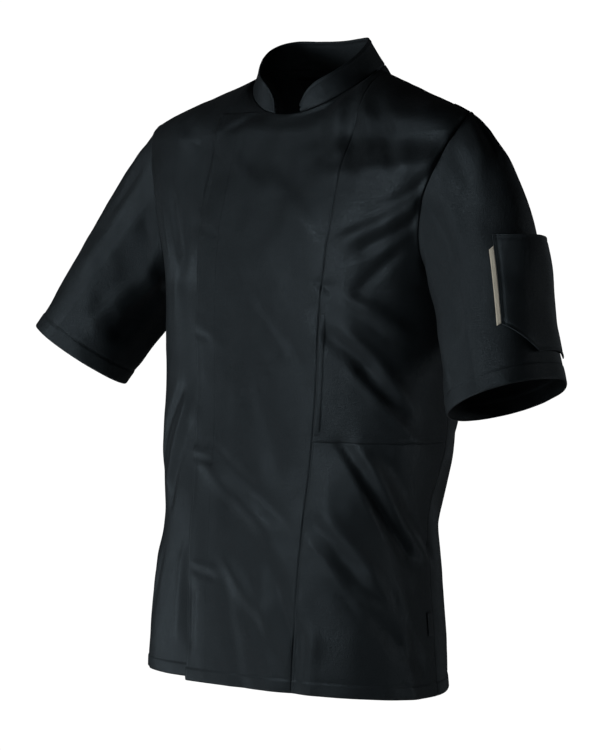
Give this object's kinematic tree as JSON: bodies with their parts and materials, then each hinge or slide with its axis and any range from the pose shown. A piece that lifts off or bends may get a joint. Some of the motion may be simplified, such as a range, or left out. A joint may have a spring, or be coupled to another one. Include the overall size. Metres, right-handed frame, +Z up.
{
  "type": "short-sleeved chef jacket",
  "caption": "Short-sleeved chef jacket with a lapped front, stand collar, hidden press studs and a sleeve pocket, filled out as worn.",
  "frame": {"origin": "middle of the neck opening, level with the points where the shoulder seams meet the collar, where the wearer's shoulders hold the jacket up", "axes": "+Z up from the hem to the collar, -Y towards the front with its lapped edge, +X towards the wearer's left"},
  "size_m": [0.7521, 0.3122, 0.7875],
  "materials": {
    "cloth": "black polyester and cotton twill, matt with a slight sheen",
    "collar_cloth": "the same black twill, interfaced",
    "cream_tape": "cream cotton tape",
    "woven_label": "black woven label, bare, with a slight sheen",
    "press_stud": "black moulded press stud"
  },
  "bodies": {
    "root": {"front_plastron": "cloth", "front_right": "cloth", "side_front_left_upper": "cloth", "side_front_left_lower": "cloth", "back": "cloth", "sleeve_left": "cloth", "sleeve_right": "cloth", "sleeve_pocket": "cloth", "collar": "collar_cloth", "pocket_tape": "cream_tape", "side_tag": "woven_label", "neck_label": "woven_label", "press_stud_1": "press_stud", "press_stud_2": "press_stud", "press_stud_3": "press_stud", "press_stud_4": "press_stud", "press_stud_5": "press_stud"}
  },
  "joints": []
}
